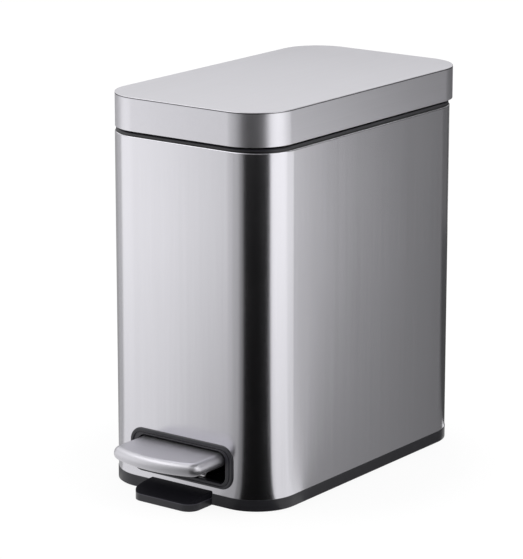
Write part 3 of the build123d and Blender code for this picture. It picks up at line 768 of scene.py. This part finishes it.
class STEPBIN_OT_lid(bpy.types.Operator):
    """Build the pressed steel lid"""

    bl_idname = "stepbin.lid"
    bl_label = "Lid"

    def execute(self, context):
        shape = context.scene.bin_shape
        look = context.scene.bin_finish
        bm = block(LID_LOW, LID_HIGH)
        round_edges(bm, upright_edges(bm), shape.lid_corner, 24)
        round_edges(bm, level_edges(bm, LID_HIGH.z), shape.lid_edge, 4)
        drop_faces(bm, level_faces(bm, LID_LOW.z))
        bmesh.ops.solidify(bm, geom=bm.faces, thickness=shape.lid_sheet)
        seam = LID_HIGH.z - shape.lid_seam
        self.press_seam(bm, seam)
        # The lid's steel gets a painted shadow along the pressed seam.
        steel = brushed_steel(
            "lid_steel",
            look.steel,
            look.lid_gloss,
            (0.0006, 0.09, 0.0008),
            (0.004, 0.3, 0.005),
            seam,
        )
        make_piece(bm, "steel_lid", steel, "lid", "lid_shell")
        return {"FINISHED"}

    def press_seam(self, bm, height):
        """Press a shallow groove all round the lid's outside."""
        for side in (-SEAM_HALF, SEAM_HALF):
            cut(bm, (0, 0, height + side), (0, 0, 1))
        middle = (LID_LOW + LID_HIGH) / 2
        ring = []
        for face in bm.faces:
            out = face.calc_center_median() - middle
            if abs(out.z + middle.z - height) < 0.1 * MM and face.normal.xy.dot(out.xy) > 0:
                ring.append(face)
        bmesh.ops.inset_region(
            bm, faces=ring, thickness=SEAM_SLOPE, depth=-SEAM_DEPTH, use_even_offset=True
        )


class STEPBIN_OT_pedal(bpy.types.Operator):
    """Build the satin pedal with its bowed, rolled front"""

    bl_idname = "stepbin.pedal"
    bl_label = "Pedal"

    def execute(self, context):
        shape = context.scene.bin_shape
        look = context.scene.bin_finish
        bm = self.plan(shape)
        top = verts_of(bmesh.ops.extrude_face_region(bm, geom=bm.faces)["geom"])
        bmesh.ops.translate(bm, vec=(0, 0, PEDAL_HIGH.z - PEDAL_LOW.z), verts=top)
        bmesh.ops.recalc_face_normals(bm, faces=bm.faces)
        rims = [
            e
            for e in level_edges(bm, PEDAL_LOW.z) + level_edges(bm, PEDAL_HIGH.z)
            if not all(v.co.y > PEDAL_HIGH.y - SAME for v in e.verts)
        ]
        round_edges(bm, rims, shape.pedal_edge, 8)
        # The pedal's steel is the sleeve's steel made darker: painted shade for the dimmer light
        # it mirrors.
        steel = brushed_steel(
            "pedal_steel",
            shade(look.steel, 0.91)[:3],
            look.pedal_gloss,
            (0.010, 0.0005, 0.0005),
            (0.06, 0.003, 0.003),
        )
        make_piece(bm, "pedal_plate", steel, "pedal", "pedal_cap")
        return {"FINISHED"}

    def plan(self, shape):
        """The pedal's outline at its lower side: corner, bowed front, corner, straight back."""
        half, corner = PEDAL_HIGH.x, shape.pedal_corner
        swell = (half**2 + shape.pedal_bow**2) / (2 * shape.pedal_bow)
        bow_centre = Vector((0, PEDAL_LOW.y + swell, PEDAL_LOW.z))
        lean = asin((half - corner) / (swell - corner))
        drop = (swell - corner) * cos(lean)
        bm = bmesh.new()
        start = bm.verts.new((-half, bow_centre.y - drop, PEDAL_LOW.z))
        arcs = (
            (bow_centre + Vector((corner - half, -drop, 0)), radians(90) - lean, 8),
            (bow_centre, 2 * lean, 20),
            (bow_centre + Vector((half - corner, -drop, 0)), radians(90) - lean, 8),
        )
        end = start
        for centre, angle, steps in arcs:
            swept = bmesh.ops.spin(
                bm,
                geom=[end],
                cent=centre,
                axis=(0, 0, 1),
                angle=angle,
                steps=steps,
                use_duplicate=False,
            )
            end = verts_of(swept["geom_last"])[0]
        back = [bm.verts.new((v.co.x, PEDAL_HIGH.y, PEDAL_LOW.z)) for v in (start, end)]
        for pair in ((start, back[0]), (end, back[1]), back):
            bm.edges.new(pair)
        bmesh.ops.contextual_create(bm, geom=bm.edges)
        return bm


class STEPBIN_OT_pedal_frame(bpy.types.Operator):
    """Build the black frame round the pedal: a rounded lip, a groove and an inner land"""

    bl_idname = "stepbin.pedal_frame"
    bl_label = "Pedal Frame"

    def execute(self, context):
        shape = context.scene.bin_shape
        low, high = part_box("pedal_bezel")
        bm = block(low, Vector((high.x, FRONT, high.z)))
        along = [e for e in bm.edges if abs(e.verts[0].co.y - e.verts[1].co.y) > MM]
        round_edges(bm, along, shape.frame_corner, 12)
        round_edges(bm, list(self.front_face(bm).edges), shape.frame_roll, 6)
        face = self.front_face(bm)
        self.inset(bm, face, FRAME_LIP, 0)
        self.stretch(face, *LIP_OPENING)
        for width, height in FRAME_STEPS:
            self.inset(bm, face, width * MM, height * MM)
        self.stretch(face, *PEDAL_OPENING)
        for width, height in LAND_STEPS:
            self.inset(bm, face, width * MM, height * MM)
        sunk = bmesh.ops.extrude_face_region(bm, geom=[face])["geom"]
        deep = verts_of(sunk)
        bmesh.ops.translate(bm, vec=(0, high.y - deep[0].co.y, 0), verts=deep)
        drop_faces(bm, [f for f in sunk if isinstance(f, bmesh.types.BMFace)])
        drop_faces(bm, [f for f in bm.faces if f.normal.y > 0.9])
        bmesh.ops.remove_doubles(bm, verts=bm.verts, dist=SAME)
        bmesh.ops.recalc_face_normals(bm, faces=bm.faces)
        bmesh.ops.solidify(bm, geom=bm.faces, thickness=FRAME_WALL)
        black = context.scene.bin_finish.black
        satin = moulded_plastic("frame_plastic", shade(black, 1.5)[:3], 0.38, 0.0009, 0.00001)
        make_piece(bm, "pedal_frame", satin, "housing", "pedal_bezel")
        return {"FINISHED"}

    def front_face(self, bm):
        """The flat face that looks forwards."""
        return min(bm.faces, key=lambda f: f.calc_center_median().y)

    def inset(self, bm, face, width, depth):
        """Draw the face in by width and raise it by depth."""
        bmesh.ops.inset_region(
            bm, faces=[face], thickness=width, depth=depth, use_even_offset=True
        )

    def stretch(self, face, half, low, high):
        """Move an outline's sides to half, low and high, without bending its corners."""
        wide = max(v.co.x for v in face.verts)
        bottom = min(v.co.z for v in face.verts)
        top = max(v.co.z for v in face.verts)
        for vert in face.verts:
            vert.co.x += (half - wide) * (1 if vert.co.x > 0 else -1)
            vert.co.z += high - top if vert.co.z > (bottom + top) / 2 else low - bottom


class STEPBIN_OT_toe(bpy.types.Operator):
    """Build the low glossy toe under the pedal"""

    bl_idname = "stepbin.toe"
    bl_label = "Toe"

    def execute(self, context):
        shape = context.scene.bin_shape
        black = context.scene.bin_finish.black
        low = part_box("base")[0]
        bm = block(
            Vector((-shape.toe_half, low.y, low.z)),
            Vector((shape.toe_half, FRONT, shape.toe_back)),
        )
        round_edges(bm, self.ahead(upright_edges(bm)), shape.toe_corner, 12)
        round_edges(bm, self.ahead(level_edges(bm, shape.toe_back)), TOE_RIM, 5)
        self.slope(bm, low, shape)
        # The toe's front is painted paler and its top darker: painted light and shade, with a
        # painted highlight along the front's top edge.
        gloss = moulded_plastic(
            "black_gloss", black, 0.42, 0.0011, 0.000002, shine=0.02, painted_light_height=TOE_PAINTED_LIGHT
        )
        toe = make_piece(bm, "toe", gloss, "housing")
        # The steel above the toe mirrors the pale floor in its place.
        toe.visible_glossy = False
        return {"FINISHED"}

    def ahead(self, edges):
        """Those of the edges that reach in front of the sleeve."""
        return [e for e in edges if min(v.co.y for v in e.verts) < FRONT - MM]

    def slope(self, bm, low, shape):
        """Let the top fall away in a curve from the sleeve to the front edge."""
        reach = FRONT - low.y
        drop = shape.toe_back - shape.toe_front
        for step in range(1, TOE_CUTS):
            cut(bm, (0, FRONT - reach * step / TOE_CUTS, 0), (0, 1, 0))
        for vert in bm.verts:
            share = (vert.co.z - low.z) / (shape.toe_back - low.z)
            vert.co.z -= share * drop * (max(FRONT - vert.co.y, 0) / reach) ** TOE_FALL


class STEPBIN_OT_mouldings(bpy.types.Operator):
    """Finish the other black mouldings: the ring, the tray, the liner and the caps"""

    bl_idname = "stepbin.mouldings"
    bl_label = "Mouldings"

    def execute(self, context):
        black = context.scene.bin_finish.black
        satin = moulded_plastic("black_satin", black, 0.40, 0.0009, 0.00002, shine=0.4)
        # The ring gets a painted shadow line low down, just above the sleeve.
        lined = moulded_plastic(
            "ring_plastic",
            shade(black, 1.15)[:3],
            0.38,
            0.0009,
            0.00002,
            seam=SLEEVE_HIGH.z + RING_SEAM,
        )
        ring = traced("top_ring")
        round_edges(ring, rim_edges(ring), RING_EDGE, 2, clamped=True)
        make_piece(ring, "rim_ring", lined, "housing", "top_ring")
        tray = traced("base")
        cut(tray, (0, FRONT - SKIRT_STEP, 0), (0, 1, 0), clear=True)
        bmesh.ops.holes_fill(tray, edges=[e for e in tray.edges if e.is_boundary])
        make_piece(tray, "foot_tray", satin, "housing", "base")
        paint("lid_liner", satin)
        paint("pedal_core", satin)
        paint("pivot_caps", satin)
        return {"FINISHED"}


class STEPBIN_OT_bucket(bpy.types.Operator):
    """Finish the bucket and the damper's grey cylinder"""

    bl_idname = "stepbin.bucket"
    bl_label = "Bucket"

    def execute(self, context):
        grey = moulded_plastic("bucket_grey", context.scene.bin_finish.grey, 0.45, 0.0012, 0.00003)
        paint("inner_bucket", grey)
        paint("damper_cylinder", grey)
        return {"FINISHED"}


class STEPBIN_OT_linkage(bpy.types.Operator):
    """Finish the lever, the rod, the pins and the small parts of the mechanism"""

    bl_idname = "stepbin.linkage"
    bl_label = "Linkage"

    def execute(self, context):
        zinc = zinc_plate()
        for node in ("pedal_lever", "pedal_pivot_pin", "pivot_screws", "hinge_pins", "rod_clips"):
            paint(node, zinc)
        wire = drawn_wire()
        paint("push_rod", wire)
        self.turn_lip(wire)
        nylon = white_nylon()
        for node in ("pivot_bushings", "damper_plunger"):
            paint(node, nylon)
        rubber = soft_rubber()
        for node in ("rubber_feet", "lid_bumpers"):
            paint(node, rubber)
        return {"FINISHED"}

    def turn_lip(self, steel):
        """The rounded, turned-in end of the lever's flange that shows under the pedal."""
        front = Vector((0, FRONT, 0))
        bm = block(front + Vector(LIP_LOW) * MM, front + Vector(LIP_HIGH) * MM)
        round_edges(bm, list(bm.edges), LIP_ROUND, 8)
        make_piece(bm, "lever_lip", steel, "pedal")


class STEPBIN_OT_studio(bpy.types.Operator):
    """Set up the pale floor, the soft lamps and the camera"""

    bl_idname = "stepbin.studio"
    bl_label = "Studio"

    def execute(self, context):
        studio = context.scene.bin_studio
        context.scene.view_settings.view_transform = "Standard"
        self.lay_floor()
        self.light_world(context.scene)
        self.hang_lamp("key_lamp", *KEY_LAMP, studio.key_power)
        self.hang_lamp("fill_lamp", *FILL_LAMP, studio.fill_power)
        for name, card in CARDS.items():
            self.stand_card(name, *card)
        self.place_camera(context.scene, studio)
        return {"FINISHED"}

    def lay_floor(self):
        """A wide pale floor that keeps the shadow near the bin and is white further out."""
        bm = bmesh.new()
        bmesh.ops.create_grid(bm, x_segments=8, y_segments=8, size=FLOOR_HALF)
        mesh = bpy.data.meshes.new("studio_floor")
        bm.to_mesh(mesh)
        bm.free()
        floor = bpy.data.objects.new("studio_floor", mesh)
        bpy.context.scene.collection.objects.link(floor)
        made = Finish("studio_floor")
        bare = made.map_range(made.away(), SHADOW_REACH, SHADOW_LEVELS, "SMOOTHSTEP")
        paper = made.node("ShaderNodeBsdfDiffuse", {}, {"Color": PAPER})
        white = made.node("ShaderNodeEmission", {}, {"Color": WHITE, "Strength": WHITE_STRENGTH})
        shown = made.node("ShaderNodeMixShader", {}, {0: made.seen() * bare, 1: paper, 2: white})
        made.node("ShaderNodeOutputMaterial", {}, {"Surface": shown})
        mesh.materials.append(made.material)

    def light_world(self, scene):
        """White where it is seen, and an even grey for the light it gives."""
        scene.world = bpy.data.worlds.new("studio_world")
        scene.world.use_nodes = True
        made = Nodes(scene.world.node_tree)
        light = made.mix(made.seen(), SKY_GREY, WHITE)
        sky = made.node("ShaderNodeBackground", {}, {"Color": light, "Strength": WHITE_STRENGTH})
        made.node("ShaderNodeOutputWorld", {}, {"Surface": sky})

    def hang_lamp(self, name, place, size, power):
        """A square soft lamp aimed at the bin's middle."""
        lamp = bpy.data.lights.new(name, "AREA")
        lamp.size = size
        lamp.energy = power
        held = bpy.data.objects.new(name, lamp)
        held.location = place
        aim = LAMP_AIM - Vector(place)
        held.rotation_euler = aim.to_track_quat("-Z", "Y").to_euler()
        bpy.context.scene.collection.objects.link(held)

    def stand_card(
        self, name, pivot, start, end, height, levels, crest=1.0, across=(1, 0, 0), reach=(0, 1)
    ):
        """A card that only the steel mirrors, turned up at its far end.

        It fans out from a pivot between two bearings.  Its level changes along the
        direction across, between the two reaches, and a little with the distance from
        the pivot.  Crest is the share of its level that is left on its upturned end.
        """
        bm = bmesh.new()
        points = (
            (0, -CARD_HUB, CARD_LIFT),
            (0, -CARD_FOLD, CARD_LIFT),
            (0, -CARD_END, height),
        )
        verts = [bm.verts.new(point) for point in points]
        for pair in zip(verts, verts[1:]):
            bm.edges.new(pair)
        turn = Matrix.Rotation(radians(start), 3, "Z")
        bmesh.ops.rotate(bm, cent=(0, 0, 0), matrix=turn, verts=bm.verts)
        bmesh.ops.spin(
            bm,
            geom=[*bm.verts, *bm.edges],
            cent=(0, 0, 0),
            axis=(0, 0, 1),
            angle=radians(end - start),
            steps=CARD_STEPS,
            use_duplicate=False,
        )
        mesh = bpy.data.meshes.new(name)
        bm.to_mesh(mesh)
        bm.free()
        card = bpy.data.objects.new(name, mesh)
        card.location = pivot
        bpy.context.scene.collection.objects.link(card)
        made = Finish(name)
        along = made.node(
            "ShaderNodeVectorMath",
            {"operation": "DOT_PRODUCT"},
            {0: made.place, 1: across},
            out="Value",
        )
        level = made.map_range(along, reach, levels)
        rise = made.map_range(made.away(), CARD_REACH, CARD_LEVELS)
        upturned = made.map_range(made.away(), CREST_REACH, (1.0, crest))
        glow = made.node("ShaderNodeEmission", {}, {"Color": level * rise * upturned})
        made.node("ShaderNodeOutputMaterial", {}, {"Surface": glow})
        mesh.materials.append(made.material)
        card.visible_camera = False
        card.visible_diffuse = False
        card.visible_shadow = False
        card.visible_transmission = False

    def place_camera(self, scene, studio):
        """Stand the camera at the right of the pedal, looking a little down."""
        lens = bpy.data.cameras.new("studio_camera")
        lens.lens = studio.lens
        lens.sensor_width = SENSOR
        eye = bpy.data.objects.new("studio_camera", lens)
        eye.location = studio.eye
        eye.rotation_euler = (radians(90) - studio.pitch, 0, studio.heading)
        scene.collection.objects.link(eye)
        scene.camera = eye


class STEPBIN_PT_panel(bpy.types.Panel):
    """Lists the bin's settings and its pieces"""

    bl_idname = "STEPBIN_PT_panel"
    bl_label = "Step Bin"
    bl_space_type = "VIEW_3D"
    bl_region_type = "UI"
    bl_category = "Step Bin"

    def draw(self, context):
        scene = context.scene
        for group in (scene.bin_shape, scene.bin_finish, scene.bin_studio):
            box = self.layout.box()
            for name in group.__annotations__:
                box.prop(group, name)
        for operator in OPERATORS:
            self.layout.operator(operator.bl_idname)


SETTINGS = (("bin_shape", BinShape), ("bin_finish", BinFinish), ("bin_studio", BinStudio))
OPERATORS = (
    STEPBIN_OT_sleeve,
    STEPBIN_OT_lid,
    STEPBIN_OT_pedal,
    STEPBIN_OT_mouldings,
    STEPBIN_OT_pedal_frame,
    STEPBIN_OT_toe,
    STEPBIN_OT_bucket,
    STEPBIN_OT_linkage,
    STEPBIN_OT_studio,
)


def register():
    for name, group in SETTINGS:
        bpy.utils.register_class(group)
        setattr(bpy.types.Scene, name, PointerProperty(type=group))
    for made in (*OPERATORS, STEPBIN_PT_panel):
        bpy.utils.register_class(made)


def unregister():
    for made in (STEPBIN_PT_panel, *reversed(OPERATORS)):
        bpy.utils.unregister_class(made)
    for name, group in reversed(SETTINGS):
        delattr(bpy.types.Scene, name)
        bpy.utils.unregister_class(group)


def main():
    """Build every piece in order."""
    register()
    bpy.ops.stepbin.sleeve()
    bpy.ops.stepbin.lid()
    bpy.ops.stepbin.pedal()
    bpy.ops.stepbin.mouldings()
    bpy.ops.stepbin.pedal_frame()
    bpy.ops.stepbin.toe()
    bpy.ops.stepbin.bucket()
    bpy.ops.stepbin.linkage()
    bpy.ops.stepbin.studio()


if __name__ == "__main__":
    main()
